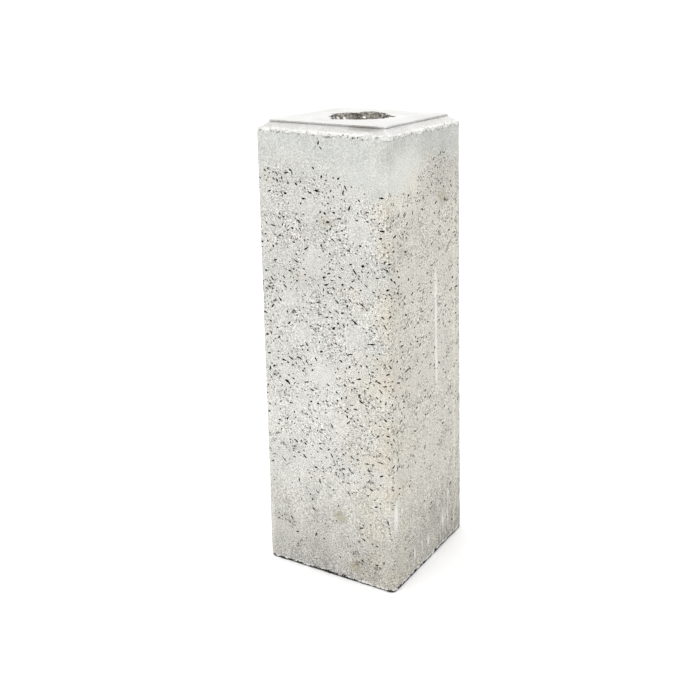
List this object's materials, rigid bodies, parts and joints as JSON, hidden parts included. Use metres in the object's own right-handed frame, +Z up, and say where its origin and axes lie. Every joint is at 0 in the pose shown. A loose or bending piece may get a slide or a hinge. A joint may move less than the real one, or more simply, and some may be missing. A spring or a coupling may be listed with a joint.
{
  "type": "column base block",
  "caption": "Tall tapered concrete block with a chamfered top and a round open socket, to stand under a post or column.",
  "frame": {"origin": "middle of the underside, on the surface that the block stands on", "axes": "+Z up along the block's height and its socket; -Y and +X square to the two sides that the picture shows"},
  "size_m": [0.2, 0.2, 0.6],
  "materials": {
    "concrete": "pale grey cast concrete, matt, with dense smooth ends, small air voids between them and a few lime streaks"
  },
  "bodies": {
    "root": {"concrete_block": "concrete"}
  },
  "joints": []
}
